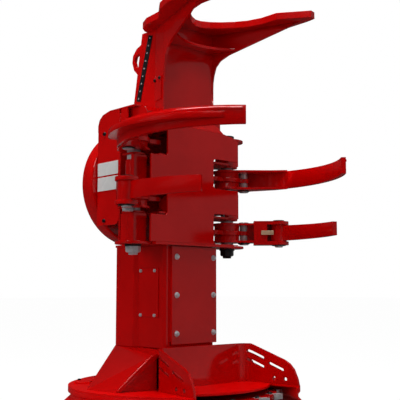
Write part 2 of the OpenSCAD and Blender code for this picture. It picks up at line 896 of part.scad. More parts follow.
module upper_arm() {
    color(red) difference() {
        union() {
            intersection() {
                arc_band(-47.6, 36, 116);
                height_taper(-900, 88, 100, 116);
            }
            translate([0, 0, -14]) linear_extrude(28) difference() {
                intersection() {
                    translate(arc_c + arc_r * [0.281, 0.029]) circle(r = 0.826 * arc_r, $fn = 96);
                    translate([380, -900]) square([500, 875]);
                }
                translate(arc_c) circle(r = arc_r - 2, $fn = 96);
            }
            for (z = [-fork_z - fork_t, fork_z]) translate([0, 0, z]) linear_extrude(fork_t)
                difference() {
                    union() {
                        at_shaft() circle(r = hub_out);
                        polygon([
                            [340, -110], [320, 40], [440, 30], [480, -42], [560, -240],
                            [572, -330], [510, -260]
                        ]);
                    }
                    difference() {
                        circle(r = 2000);
                        translate(arc_c) circle(r = arc_r - 2, $fn = 96);
                    }
                }
            hub_rings();
        }
        shaft_hole(200);
        knee_hole(200);
    }
}

clevis_in = 50;
pad_x0 = 205;
module lower_arm() {
    color(red) difference() {
        union() {
            for (z = [-fork_z - fork_t, fork_z]) translate([0, 0, z]) along_arm()
                linear_extrude(fork_t) fork_plan();
            hub_rings();
            along_arm() {
                translate([162, -box_w / 2, -box_h]) cube([80, box_w, 2 * box_h]);
                for (z = [-box_h, clevis_in]) translate([0, 0, z])
                    linear_extrude(box_h - clevis_in) {
                        translate([reach, 0]) circle(r = 60);
                        translate([240, -58]) square([reach - 240, 116]);
                    }
                translate([240, 44, -clevis_in - eps]) cube([22, 14, 2 * (clevis_in + eps)]);
            }
        }
        shaft_hole(200);
        knee_hole(200);
        translate([tip_c[0], tip_c[1], -100]) cylinder(r = tip_pin_r + 0.05, h = 200);
    }
}

module pad() {
    color(tan_pad) along_arm() translate([pad_x0, -box_w / 2 - 14, -13]) cube([74, 14, 26]);
}

module tip_pin() {
    color(dark) translate([tip_c[0], tip_c[1], 0]) {
        translate([0, 0, -box_h]) cylinder(r = tip_pin_r, h = 2 * box_h);
        translate([0, 0, box_h]) cylinder(r = 34, h = 8);
        translate([0, 0, -box_h - 5]) cylinder(r = 42, h = 5);
        translate([0, 0, -box_h - 14]) cylinder(r = 26, h = 9);
    }
}

module tip_arm() {
    color(red) difference() {
        union() {
            translate([tip_c[0], tip_c[1], -clevis_in + seat])
                cylinder(r = 48, h = 2 * (clevis_in - seat));
            intersection() {
                arc_band(-29, 13, 96);
                height_taper(-740, 76, -230, 94);
            }
        }
        translate([tip_c[0], tip_c[1], -100]) cylinder(r = tip_pin_r + run_gap, h = 200);
    }
}

washer_r = 46;
nut_h = 34;
module arm_pins(low, high) {
    under = frame_z - seat;
    color(dark) {
        for (k = [low, high]) translate([knee[0], knee[1], level(k)]) {
            nut = k == 1 ? 20 : 6;
            translate([0, 0, -fork_z - fork_t]) cylinder(r = knee_r, h = 2 * (fork_z + fork_t));
            translate([0, 0, fork_z + fork_t]) cylinder(r = 31, h = 9);
            translate([0, 0, -fork_z - fork_t - 6]) cylinder(r = 36, h = 6);
            translate([0, 0, -fork_z - fork_t - 6 - nut]) hex_head(30, nut);
        }
        translate([shaft_c[0], shaft_c[1], 0]) {
            translate([0, 0, under - 10]) cylinder(r = washer_r, h = 10);
            translate([0, 0, under - 10 - nut_h]) hex_head(42, nut_h);
            translate([0, 0, under - 22 - nut_h]) cylinder(r = 26, h = 12);
            translate([0, 0, top_z + 22 - seat]) cylinder(r = washer_r, h = 12);
        }
    }
}

// Arm cylinders: a crank with slots over the rod's cross pin
rod_y = 80;
crank_d = rod_y + shaft_y;
mid_close = 32.5;
rod_ratio = 118;
cross_r = 16;
slot_gap = 4;
cheek_t = 18;
cheek_gap = 31;
rod_rest_x = shaft_x - rod_ratio * mid_close * PI / 180;
rod_r = 20;
barrel_r = 47;
barrel_in_r = 37;
barrel_x0 = -40;
barrel_x1 = 226;
crank_end = 132;
crank_boss = 45;
module crank() {
    color(deep_red) at_shaft() rotate([0, 0, mid_close]) {
        for (z = [-cheek_gap - cheek_t, cheek_gap]) translate([0, 0, z])
            linear_extrude(cheek_t) difference() {
                union() {
                    circle(r = crank_boss);
                    translate([-36, 0]) square([72, crank_end]);
                    translate([0, crank_end]) circle(r = 36);
                }
                circle(r = shaft_r + 0.05);
                translate([-cross_r - slot_gap, crank_d - 6])
                    square([2 * (cross_r + slot_gap), crank_end - crank_d + 8]);
                for (y = [crank_d - 6, crank_end + 2]) translate([0, y])
                    circle(r = cross_r + slot_gap);
            }
        translate([0, 0, -cheek_gap]) ring(crank_boss, shaft_r + 0.05, 2 * cheek_gap);
    }
}
module cylinder_body() {
    color(deep_red) {
        translate([barrel_x0, rod_y, 0]) rotate([0, 90, 0]) difference() {
            cylinder(r = barrel_r, h = barrel_x1 - barrel_x0);
            translate([0, 0, 26]) cylinder(r = barrel_in_r, h = barrel_x1 - barrel_x0 - 52);
            translate([0, 0, 30]) cylinder(r = rod_r + run_gap, h = 400);
        }
        for (x = [barrel_x0 + 6, barrel_x1 - 40]) difference() {
            translate([x, rod_y, -30]) cube([30, back_y - rod_y, 60]);
            translate([barrel_x0 - 5, rod_y, 0]) rotate([0, 90, 0])
                cylinder(r = barrel_r - 2, h = 400);
        }
    }
}
module rod() {
    color(steel) {
        translate([0, rod_y, 0]) rotate([0, 90, 0]) {
            translate([0, 0, 4]) cylinder(r = barrel_in_r - run_gap, h = 30);
            translate([0, 0, 20]) cylinder(r = rod_r, h = rod_rest_x - 20);
        }
        translate([rod_rest_x, rod_y, -27]) cylinder(r = 25, h = 54);
        translate([rod_rest_x, rod_y, -cheek_gap - cheek_t - 6])
            cylinder(r = cross_r, h = 2 * (cheek_gap + cheek_t + 6));
    }
}

module left() {
    mirror([1, 0, 0]) children();
}
module left_shaft() { left() arm_shaft(); }
module left_arm_pins() { left() arm_pins(1, 3); }
module left_hub_plates() { left() hub_plates(1, 3); }
module left_upper_arm() { translate([0, 0, level(3)]) left() upper_arm(); }
module left_lower_arm() { translate([0, 0, level(1)]) left() lower_arm(); }
module left_pad() { translate([0, 0, level(1)]) left() pad(); }
module left_tip_pin() { translate([0, 0, level(1)]) left() tip_pin(); }
module left_tip_arm() { translate([0, 0, level(1)]) left() tip_arm(); }
module left_crank() { translate([0, 0, level(2)]) left() crank(); }
module left_cylinder() { translate([0, 0, level(2)]) left() cylinder_body(); }
module left_rod() { translate([0, 0, level(2)]) left() rod(); }
module right_shaft() { arm_shaft(); }
module right_arm_pins() { arm_pins(0, 2); }
module right_hub_plates() { hub_plates(0, 2); }
module right_upper_arm() { translate([0, 0, level(2)]) upper_arm(); }
module right_lower_arm() { translate([0, 0, level(0)]) lower_arm(); }
module right_pad() { translate([0, 0, level(0)]) pad(); }
module right_tip_pin() { translate([0, 0, level(0)]) tip_pin(); }
module right_tip_arm() { translate([0, 0, level(0)]) tip_arm(); }
module right_crank() { translate([0, 0, level(1)]) crank(); }
module right_cylinder() { translate([0, 0, level(1)]) cylinder_body(); }
module right_rod() { translate([0, 0, level(1)]) rod(); }

saw_disc();
saw_teeth();
saw_bolts();
saw_spindle();
hub_cap();
butt_plate();
housing_wall();
skid_shoes();
housing_cover();
cover_bolts();
pocket_guard();
motor_skirt();
spindle_housing();
saw_motor();
tower();
front_cover();
side_covers();
tower_cover_bolts();
bottom_plate();
shaft_shelves();
pocket_face();
back_plate();
bearing_blocks();
bearing_caps();
cap_bolts();
mast();
mast_cover();
horn_plate();
horn_shelf();
lifting_ears();
wrist_sides();
wrist_roof();
marker_plates();
slew_plate();
slew_motor();
slew_drum();
boom_adaptor();
boom_bushes();
left_shaft();
left_arm_pins();
left_hub_plates();
left_upper_arm();
left_lower_arm();
left_pad();
left_tip_pin();
left_tip_arm();
left_crank();
left_cylinder();
left_rod();
right_shaft();
right_arm_pins();
right_hub_plates();
right_upper_arm();
right_lower_arm();
right_pad();
right_tip_pin();
right_tip_arm();
right_crank();
right_cylinder();
right_rod();
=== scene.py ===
import json
import math

import bmesh
import bpy
from mathutils import Matrix, Vector


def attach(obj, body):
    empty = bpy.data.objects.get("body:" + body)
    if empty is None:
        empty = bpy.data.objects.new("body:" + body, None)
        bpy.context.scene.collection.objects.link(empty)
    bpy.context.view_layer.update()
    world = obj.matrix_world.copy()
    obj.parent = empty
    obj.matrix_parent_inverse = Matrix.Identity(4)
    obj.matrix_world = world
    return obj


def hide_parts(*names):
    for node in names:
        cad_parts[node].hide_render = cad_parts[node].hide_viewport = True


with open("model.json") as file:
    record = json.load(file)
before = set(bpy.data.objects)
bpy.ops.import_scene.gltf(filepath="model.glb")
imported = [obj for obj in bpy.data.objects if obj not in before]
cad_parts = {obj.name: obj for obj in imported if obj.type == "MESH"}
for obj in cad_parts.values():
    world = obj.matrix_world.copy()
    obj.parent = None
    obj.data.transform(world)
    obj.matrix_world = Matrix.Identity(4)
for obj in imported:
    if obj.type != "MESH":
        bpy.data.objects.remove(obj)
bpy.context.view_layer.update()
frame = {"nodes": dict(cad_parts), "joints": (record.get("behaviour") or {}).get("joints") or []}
nodes = frame["nodes"]


# The view: the head is seen from its front left, from a little below the middle of its height,
# with the camera tilted up so that the horn at the top and the saw housing at the foot both show.
turn = math.radians(43.0)
tilt = math.radians(6.53)
view_data = bpy.data.cameras.new("view")
view_data.lens = 70.74
view_data.sensor_width = 36.0
view = bpy.data.objects.new("view", view_data)
bpy.context.scene.collection.objects.link(view)
view.location = (-3.0062, -3.39574, 0.690)
look = Vector((math.sin(turn) * math.cos(tilt), math.cos(turn) * math.cos(tilt), math.sin(tilt)))
view.rotation_euler = look.to_track_quat("-Z", "Y").to_euler()
bpy.context.scene.camera = view
bpy.context.scene.view_settings.view_transform = "Standard"


# The studio: a pale floor under the skid shoes and a white surround. Both are white to the
# camera; gloss sees them dimmer, and brightest in front of the head, as in a dark studio with
# one pale wall. The head itself is lit by soft lamps and a weak grey surround.
def seen_strength(tree, gloss_strength):
    path = tree.nodes.new("ShaderNodeLightPath")
    direct = tree.nodes.new("ShaderNodeMath")
    direct.operation = "MAXIMUM"
    tree.links.new(path.outputs["Is Camera Ray"], direct.inputs[0])
    tree.links.new(path.outputs["Is Transmission Ray"], direct.inputs[1])
    gloss = tree.nodes.new("ShaderNodeMath")
    gloss.operation = "MULTIPLY"
    tree.links.new(path.outputs["Is Glossy Ray"], gloss.inputs[0])
    if isinstance(gloss_strength, float):
        gloss.inputs[1].default_value = gloss_strength
    else:
        tree.links.new(gloss_strength, gloss.inputs[1])
    either = tree.nodes.new("ShaderNodeMath")
    either.operation = "MAXIMUM"
    tree.links.new(direct.outputs[0], either.inputs[0])
    tree.links.new(gloss.outputs[0], either.inputs[1])
    return either.outputs[0]


def wall_glow(tree, direction):
    towards_wall = (0.68, -0.73, 0.0)
    wall_side = tree.nodes.new("ShaderNodeVectorMath")
    wall_side.operation = "DOT_PRODUCT"
    wall_side.inputs[1].default_value = towards_wall
    tree.links.new(direction, wall_side.inputs[0])
    glow_range = tree.nodes.new("ShaderNodeMapRange")
    glow_range.inputs["From Min"].default_value = 0.2
    glow_range.inputs["From Max"].default_value = 0.9
    glow_range.inputs["To Min"].default_value = 0.03
    glow_range.inputs["To Max"].default_value = 0.24
    tree.links.new(wall_side.outputs["Value"], glow_range.inputs["Value"])
    return glow_range.outputs["Result"]


floor_half = 60.0
floor_z = -0.0105
floor_mesh = bpy.data.meshes.new("floor")
floor_bm = bmesh.new()
bmesh.ops.create_grid(floor_bm, x_segments=1, y_segments=1, size=floor_half)
bmesh.ops.translate(floor_bm, verts=floor_bm.verts, vec=(0, 0, floor_z))
floor_bm.to_mesh(floor_mesh)
floor_bm.free()
floor = bpy.data.objects.new("floor", floor_mesh)
bpy.context.scene.collection.objects.link(floor)
floor_paint = bpy.data.materials.new("pale_floor")
floor_paint.use_nodes = True
tree = floor_paint.node_tree
tree.nodes.clear()
cloth = tree.nodes.new("ShaderNodeBsdfDiffuse")
cloth.inputs["Color"].default_value = (0.30, 0.30, 0.30, 1)
glow = tree.nodes.new("ShaderNodeEmission")
glow.inputs["Color"].default_value = (1, 1, 1, 1)
here = tree.nodes.new("ShaderNodeTexCoord")
outward = tree.nodes.new("ShaderNodeVectorMath")
outward.operation = "NORMALIZE"
tree.links.new(here.outputs["Object"], outward.inputs[0])
shine = tree.nodes.new("ShaderNodeMath")
shine.operation = "MULTIPLY"
shine.inputs[1].default_value = 1.09
tree.links.new(seen_strength(tree, wall_glow(tree, outward.outputs[0])), shine.inputs[0])
tree.links.new(shine.outputs[0], glow.inputs["Strength"])
share = tree.nodes.new("ShaderNodeMath")
share.operation = "MULTIPLY"
share.inputs[1].default_value = 0.90
tree.links.new(seen_strength(tree, 1.0), share.inputs[0])
blend = tree.nodes.new("ShaderNodeMixShader")
tree.links.new(share.outputs[0], blend.inputs[0])
tree.links.new(cloth.outputs[0], blend.inputs[1])
tree.links.new(glow.outputs[0], blend.inputs[2])
out = tree.nodes.new("ShaderNodeOutputMaterial")
tree.links.new(blend.outputs[0], out.inputs["Surface"])
floor_mesh.materials.append(floor_paint)

surround = bpy.data.worlds.new("surround")
bpy.context.scene.world = surround
surround.use_nodes = True
tree = surround.node_tree
tree.nodes.clear()
weak = tree.nodes.new("ShaderNodeBackground")
weak.inputs["Color"].default_value = (1, 1, 1, 1)
weak.inputs["Strength"].default_value = 0.16
white = tree.nodes.new("ShaderNodeBackground")
white.inputs["Color"].default_value = (1, 1, 1, 1)
heading = tree.nodes.new("ShaderNodeTexCoord")
level = seen_strength(tree, wall_glow(tree, heading.outputs["Generated"]))
tree.links.new(level, white.inputs["Strength"])
seen = tree.nodes.new("ShaderNodeMath")
seen.operation = "GREATER_THAN"
seen.inputs[1].default_value = 0.0
tree.links.new(level, seen.inputs[0])
blend = tree.nodes.new("ShaderNodeMixShader")
tree.links.new(seen.outputs[0], blend.inputs[0])
tree.links.new(weak.outputs[0], blend.inputs[1])
tree.links.new(white.outputs[0], blend.inputs[2])
out = tree.nodes.new("ShaderNodeOutputWorld")
tree.links.new(blend.outputs[0], out.inputs["Surface"])

head_middle = Vector((0, 0, 1.1))
for name, place, size, power, lights_gloss, lights_paint in (
    ("top_lamp", (-0.5, -0.3, 5.2), 3.2, 270, True, True),
    ("left_lamp", (-5.5, 0.8, 2.6), 3.0, 90, False, True),
    ("front_lamp", (-1.2, -6.0, 3.2), 2.5, 45, False, True),
    ("edge_lamp", (-3.2, -3.4, 4.8), 1.2, 32, True, False),
):
    lamp_data = bpy.data.lights.new(name, "AREA")
    lamp_data.size = size
    lamp_data.energy = power
    lamp = bpy.data.objects.new(name, lamp_data)
    lamp.location = place
    lamp.rotation_euler = (head_middle - Vector(place)).to_track_quat("-Z", "Y").to_euler()
    lamp.visible_glossy = lights_gloss
    lamp.visible_diffuse = lights_paint
    bpy.context.scene.collection.objects.link(lamp)


# The saw: a cut steel disc with 18 forged teeth let into its rim, each held by one round-headed
# bolt, on a plated spindle with a red hub cap bolted on below. The red gloss paint is sprayed on and
# keeps a faint orange peel; the teeth are bare steel and the bolts black.
sprayed_coat = bpy.data.node_groups.new("sprayed_coat", "ShaderNodeTree")
for label, value in (("Peel Scale", 260.0), ("Cloud Scale", 5.0), ("Low", 0.4), ("High", 0.6)):
    socket = sprayed_coat.interface.new_socket(label, in_out="INPUT", socket_type="NodeSocketFloat")
    socket.default_value = value
for label in ("Cloud", "Peel"):
    sprayed_coat.interface.new_socket(label, in_out="OUTPUT", socket_type="NodeSocketFloat")
given = sprayed_coat.nodes.new("NodeGroupInput")
result = sprayed_coat.nodes.new("NodeGroupOutput")
spot_on_piece = sprayed_coat.nodes.new("ShaderNodeTexCoord")
orange_peel = sprayed_coat.nodes.new("ShaderNodeTexNoise")
orange_peel.inputs["Detail"].default_value = 1.0
sprayed_coat.links.new(spot_on_piece.outputs["Object"], orange_peel.inputs["Vector"])
sprayed_coat.links.new(given.outputs["Peel Scale"], orange_peel.inputs["Scale"])
cloud = sprayed_coat.nodes.new("ShaderNodeTexNoise")
cloud.inputs["Detail"].default_value = 5.0
cloud.inputs["Roughness"].default_value = 0.62
sprayed_coat.links.new(spot_on_piece.outputs["Object"], cloud.inputs["Vector"])
sprayed_coat.links.new(given.outputs["Cloud Scale"], cloud.inputs["Scale"])
spread = sprayed_coat.nodes.new("ShaderNodeMapRange")
sprayed_coat.links.new(cloud.outputs["Fac"], spread.inputs["Value"])
sprayed_coat.links.new(given.outputs["Low"], spread.inputs["From Min"])
sprayed_coat.links.new(given.outputs["High"], spread.inputs["From Max"])
sprayed_coat.links.new(spread.outputs["Result"], result.inputs["Cloud"])
sprayed_coat.links.new(orange_peel.outputs["Fac"], result.inputs["Peel"])


def coated(name, light, shade, rough, peel, metal=0.0, cloud_scale=5.0, specular=0.5):
    paint = bpy.data.materials.new(name)
    paint.use_nodes = True
    tree = paint.node_tree
    skin = tree.nodes["Principled BSDF"]
    skin.inputs["Metallic"].default_value = metal
    skin.inputs["Specular IOR Level"].default_value = specular
    coat = tree.nodes.new("ShaderNodeGroup")
    coat.node_tree = sprayed_coat
    coat.inputs["Cloud Scale"].default_value = cloud_scale
    tint = tree.nodes.new("ShaderNodeMix")
    tint.data_type = "RGBA"
    tint.inputs["A"].default_value = (*light, 1)
    tint.inputs["B"].default_value = (*shade, 1)
    tree.links.new(coat.outputs["Cloud"], tint.inputs["Factor"])
    tree.links.new(tint.outputs["Result"], skin.inputs["Base Color"])
    gloss = tree.nodes.new("ShaderNodeMapRange")
    gloss.inputs["To Min"].default_value = rough[0]
    gloss.inputs["To Max"].default_value = rough[1]
    tree.links.new(coat.outputs["Cloud"], gloss.inputs["Value"])
    tree.links.new(gloss.outputs["Result"], skin.inputs["Roughness"])
    bump = tree.nodes.new("ShaderNodeBump")
    bump.inputs["Strength"].default_value = peel
    bump.inputs["Distance"].default_value = 0.0006
    tree.links.new(coat.outputs["Peel"], bump.inputs["Height"])
    tree.links.new(bump.outputs["Normal"], skin.inputs["Normal"])
    return paint


def finish_nodes(paint, *names):
    for name in names:
        node = nodes[name]
        node.data.materials.clear()
        node.data.materials.append(paint)
        weld = node.modifiers.new("weld", "WELD")
        weld.merge_threshold = 0.00002
        flats = node.modifiers.new("flats", "DECIMATE")
        flats.decimate_type = "DISSOLVE"
        flats.angle_limit = math.radians(0.5)
        edge = node.modifiers.new("edge", "BEVEL")
        edge.width = 0.002
        edge.segments = 2
        edge.limit_method = "ANGLE"
        edge.angle_limit = math.radians(40)
        edge.harden_normals = True


red_paint = coated("red_gloss_paint", (0.58, 0.001, 0.001), (0.54, 0.0, 0.0), (0.07, 0.14), 0.04)
bolt_zinc = coated(
    "zinc_plated_steel", (0.72, 0.73, 0.75), (0.50, 0.51, 0.54), (0.28, 0.45), 0.15,
    metal=0.4, cloud_scale=30.0,
)
black_oxide = coated(
    "black_oxide_steel", (0.035, 0.035, 0.038), (0.02, 0.02, 0.022), (0.30, 0.5), 0.2,
    metal=0.6, cloud_scale=20.0,
)
tooth_steel = coated(
    "forged_tooth_steel", (0.66, 0.66, 0.66), (0.44, 0.44, 0.45), (0.30, 0.50), 0.3,
    metal=0.5, cloud_scale=40.0,
)
finish_nodes(red_paint, "saw_disc", "hub_cap")
finish_nodes(tooth_steel, "saw_teeth")
finish_nodes(black_oxide, "saw_bolts")
finish_nodes(bolt_zinc, "saw_spindle")


# The foot: a round butt plate with a rolled wall and a bolted cover over the back of the saw, welded
# up from plate in a satin red whose colour is painted lighter than the gloss red, a painted
# highlight for these upward faces lit from above, and the gloss red guard, skirt and spindle housing
# on top.
# The saw motor, the cover bolts and the skid shoes under the wall are dark steel.
# Satin finish, with a base colour lighter than the gloss red: painted light on the upward faces.
satin_red_painted_light = coated(
    "red_satin_paint", (0.80, 0.001, 0.001), (0.78, 0.0, 0.0), (0.30, 0.32), 0.0,
    cloud_scale=1.0, specular=0.12,
)
finish_nodes(satin_red_painted_light, "butt_plate", "housing_wall", "housing_cover")
finish_nodes(red_paint, "pocket_guard", "motor_skirt", "spindle_housing")
finish_nodes(black_oxide, "skid_shoes", "cover_bolts", "saw_motor")


# Closing plates under the front edges of the skirt: flat cut sheet, set back behind the skirt's
# rounded edge and welded to the guard, the skirt and the butt plate. They take the darker red,
# painted shade for the recess under the edge.
def make_piece(name, bm, material, body):
    bmesh.ops.recalc_face_normals(bm, faces=bm.faces)
    mesh = bpy.data.meshes.new(name)
    bm.to_mesh(mesh)
    bm.free()
    for face in mesh.polygons:
        face.use_smooth = True
    crease = math.radians(35)
    mesh.set_sharp_from_angle(angle=crease)
    mesh.materials.append(material)
    piece = bpy.data.objects.new(name, mesh)
    bpy.context.scene.collection.objects.link(piece)
    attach(piece, body)
    return piece


def flat_plate(bm, corners, thickness):
    sheet = bm.faces.new([bm.verts.new(c) for c in corners])
    grown = bmesh.ops.extrude_face_region(bm, geom=[sheet])
    back = [v for v in grown["geom"] if isinstance(v, bmesh.types.BMVert)]
    bmesh.ops.translate(bm, verts=back, vec=thickness)


# A darker, duller red than the gloss red: its darkness is painted shade for plates in recesses and
# between parts.
shaded_inner_red = coated("red_inner_paint", (0.50, 0.001, 0.001), (0.42, 0.0, 0.0), (0.18, 0.32), 0.10)
closing = bmesh.new()
skirt_corner = Vector((0.342, -0.183, 0))
along = Vector((0.1983, 0.0563, 0)).normalized()
inward = Vector((-along.y, along.x, 0))
set_back = 0.012
sheet_t = 0.006
inner_end, outer_end = -0.024, 0.190
sheet_foot_z, sheet_head_z = 0.171, 0.360
for side in (-1, 1):
    rim = [
        skirt_corner + along * s + inward * set_back + Vector((0, 0, z))
        for s, z in ((inner_end, sheet_foot_z), (outer_end, sheet_foot_z), (inner_end, sheet_head_z))
    ]
    back_way = Vector((side * inward.x, inward.y, 0)) * sheet_t
    flat_plate(closing, [Vector((side * p.x, p.y, p.z)) for p in rim], back_way)
make_piece("skirt_closing_plates", closing, shaded_inner_red, "frame")


# Edge bars of the skirt: straight round bar welded along the front edge on each side, so that a
# trunk slides over it. Painted with the skirt.
def pointing(place, direction):
    return Matrix.Translation(place) @ Vector(direction).to_track_quat("Z", "Y").to_matrix().to_4x4()


def further(place, distance):
    return place @ Matrix.Translation((0, 0, distance))


def lathe(bm, place, profile, steps=36):
    before = set(bm.verts)
    spots = [bm.verts.new((r, 0, z)) for r, z in profile]
    edges = [bm.edges.new(pair) for pair in zip(spots, spots[1:])]
    bmesh.ops.spin(
        bm, geom=[*spots, *edges], cent=(0, 0, 0), axis=(0, 0, 1), dvec=(0, 0, 0),
        angle=2 * math.pi, steps=steps, use_merge=True, use_duplicate=False,
    )
    shape = [v for v in bm.verts if v not in before]
    bmesh.ops.remove_doubles(bm, verts=shape, dist=1e-6)
    shape = [v for v in bm.verts if v not in before]
    bmesh.ops.transform(bm, matrix=place, verts=shape)


def button(radius, height, chamfer):
    eased = 0.3 * chamfer
    return [
        (0, 0), (radius, 0), (radius, height - chamfer), (radius - eased, height - eased),
        (radius - chamfer, height), (0, height),
    ]


skirt_bars = bmesh.new()
for side in (-1, 1):
    bar_foot = Vector((side * 0.535, -0.126, 0.176))
    bar_head = Vector((side * 0.347, -0.180, 0.348))
    rise = bar_head - bar_foot
    straight_bar = button(radius=0.008, height=rise.length, chamfer=0.002)
    lathe(skirt_bars, pointing(bar_foot, rise), straight_bar, steps=20)
make_piece("skirt_edge_bars", skirt_bars, red_paint, "frame")


# The tower: a box of folded and welded plate from the saw housing up to the arm carrier, with a
# bolted cover over the opening at its front and one on each side. All gloss red.
finish_nodes(red_paint, "tower", "front_cover", "side_covers")
finish_nodes(bolt_zinc, "tower_cover_bolts")


# Tower cover screws: button heads on pressed washers, zinc plated, six through the front cover
# and four smaller ones without washers through each side cover.
front_y = -0.108
front_columns = (-0.116, 0.165)
front_rows = (0.450, 0.662, 0.874)
side_x = 0.199
side_columns = (-0.018, 0.104)
side_rows = (0.550, 0.797)
washer_t = 0.003
pressed_washer = button(radius=0.0165, height=washer_t, chamfer=0.001)
front_head = button(radius=0.0115, height=0.011, chamfer=0.004)
side_head = button(radius=0.0095, height=0.008, chamfer=0.0025)
cover_screws = bmesh.new()
for x in front_columns:
    for z in front_rows:
        spot = pointing((x, front_y, z), (0, -1, 0))
        lathe(cover_screws, spot, pressed_washer)
        lathe(cover_screws, further(spot, washer_t), front_head)
for side in (-1, 1):
    for y in side_columns:
        for z in side_rows:
            lathe(cover_screws, pointing((side * side_x, y, z), (side, 0, 0)), side_head)
tower_screws = make_piece("tower_cover_screws", cover_screws, bolt_zinc, "frame")
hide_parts("tower_cover_bolts")


# The arm carrier: a bottom plate and four shelves welded between the pocket face and a back plate,
# with square bearing columns and bolted caps round the two arm shafts. The shelves and the back
# plate are a darker, duller red, its darkness painted shade inside the carrier, and the rest is
# gloss red, bolts and all.
finish_nodes(shaded_inner_red, "shaft_shelves", "back_plate")
finish_nodes(red_paint, "bottom_plate", "pocket_face", "bearing_blocks", "bearing_caps", "cap_bolts")


# The mast and the horn: a tapered box of folded plate with the forked horn plate on its top, a
# shelf with a hollow front edge under the horn, a lifting ear at the back on each side, and a
# small flat cover. All gloss red.
finish_nodes(red_paint, "mast", "mast_cover", "horn_plate", "horn_shelf", "lifting_ears")


# Plain dark trim strips, one up each side of the mast: flat sheet with eased edges, each held by
# nine small plated screws in a row.
strip_bm = bmesh.new()
strip_screws = bmesh.new()
low_end = Vector((0, 0.196, 1.800))
high_end = Vector((0, 0.086, 2.180))
run = (high_end - low_end).normalized()
strip_half = 0.020
aside = Vector((0, run.z, -run.y)) * strip_half
mast_x = 0.1551
strip_t = 0.003
screw_count = 9
first_screw, screw_step = 0.04, 0.115
small_head = button(radius=0.005, height=0.003, chamfer=0.001)
for side in (-1, 1):
    corners = [
        Vector((side * mast_x, c.y, c.z))
        for c in (low_end - aside, low_end + aside, high_end + aside, high_end - aside)
    ]
    flat_plate(strip_bm, corners, (side * strip_t, 0, 0))
    for i in range(screw_count):
        centre = low_end.lerp(high_end, first_screw + screw_step * i)
        spot = pointing((side * (mast_x + strip_t), centre.y, centre.z), (side, 0, 0))
        lathe(strip_screws, spot, small_head, steps=20)
flat_within = 0.5
square_edges = [e for e in strip_bm.edges if e.calc_face_angle(0) > flat_within]
bmesh.ops.bevel(
    strip_bm, geom=square_edges, offset=0.001, offset_type="OFFSET", segments=2, profile=0.5,
    affect="EDGES", material=-1,
)
make_piece("mast_trim_strips", strip_bm, black_oxide, "frame")
make_piece("trim_strip_screws", strip_screws, bolt_zinc, "frame")


# The wrist: side plates and a humped roof that hold the slewing plate, and behind it the turning
# drum with the two ears for the stick's pins and their pressed-in bushes. The slew motor is dark
# steel, and two plain pale enamelled plates are fixed to the left side.
plate_white = coated("pale_enamel_plate", (0.72, 0.72, 0.71), (0.66, 0.66, 0.65), (0.25, 0.35), 0.05)
finish_nodes(red_paint, "wrist_sides", "wrist_roof", "slew_plate", "slew_drum", "boom_adaptor")
finish_nodes(plate_white, "marker_plates")
finish_nodes(black_oxide, "slew_motor")
finish_nodes(bolt_zinc, "boom_bushes")


# Black socket screws, turned and hardened: one pair in each wrist side, and two in the holes of the
# small flat cover on the mast's left flank.
def socket_screw(bm, place, radius, height):
    rim_r, rim_z = radius * 0.9, height * 0.8
    mouth_r, floor_r, floor_z = radius * 0.55, radius * 0.5, height * 0.35
    lathe(bm, place, [
        (0, 0), (radius, 0), (radius, rim_z), (rim_r, height),
        (mouth_r, height), (floor_r, floor_z), (0, floor_z),
    ], steps=28)


wrist_x = 0.320
wrist_spots = ((0.302, 1.598), (0.298, 1.087))
black_screws = bmesh.new()
for side in (-1, 1):
    for y, z in wrist_spots:
        spot = pointing((side * wrist_x, y, z), (side, 0, 0))
        socket_screw(black_screws, spot, radius=0.011, height=0.009)
flank_narrows, flank_depth = 0.041, 0.123
flank = math.atan2(flank_narrows, flank_depth)
flank_out = Vector((-math.cos(flank), math.sin(flank), 0))
flank_run = Vector((math.sin(flank), math.cos(flank), 0))
flat_cover_t = 0.006
flank_corner = Vector((-0.155, 0.043, 1.894)) + flank_out * flat_cover_t
for hole_at in (-0.014, -0.088):
    spot = pointing(flank_corner + flank_run * hole_at, flank_out)
    socket_screw(black_screws, spot, radius=0.010, height=0.008)
make_piece("black_socket_screws", black_screws, black_oxide, "frame")


# The clamp arms: on each side a plated shaft, hub plates, a bent upper arm, a lower arm with a
# folding tip and a nylon pad, and a crank that the chromed rod of the arm cylinder drives. The
# left set stands one level above the right one. The upper arms are a little worn and less glossy.
arm_red = coated(
    "red_arm_paint", (0.58, 0.001, 0.001), (0.54, 0.0, 0.0), (0.16, 0.24), 0.04, specular=0.2,
)
chrome = coated(
    "hard_chrome", (0.78, 0.78, 0.80), (0.72, 0.72, 0.74), (0.05, 0.10), 0.02,
    metal=1.0, cloud_scale=8.0,
)
wear_pad = coated(
    "cast_nylon_pad", (0.62, 0.42, 0.26), (0.50, 0.33, 0.20), (0.42, 0.55), 0.3, cloud_scale=30.0,
)
for side in ("left_", "right_"):
    finish_nodes(bolt_zinc, side + "shaft")
    finish_nodes(arm_red, side + "upper_arm")
    for name in ("hub_plates", "lower_arm", "tip_arm", "crank", "cylinder"):
        finish_nodes(red_paint, side + name)
    finish_nodes(chrome, side + "rod")
    finish_nodes(wear_pad, side + "pad")
    finish_nodes(black_oxide, side + "arm_pins", side + "tip_pin")


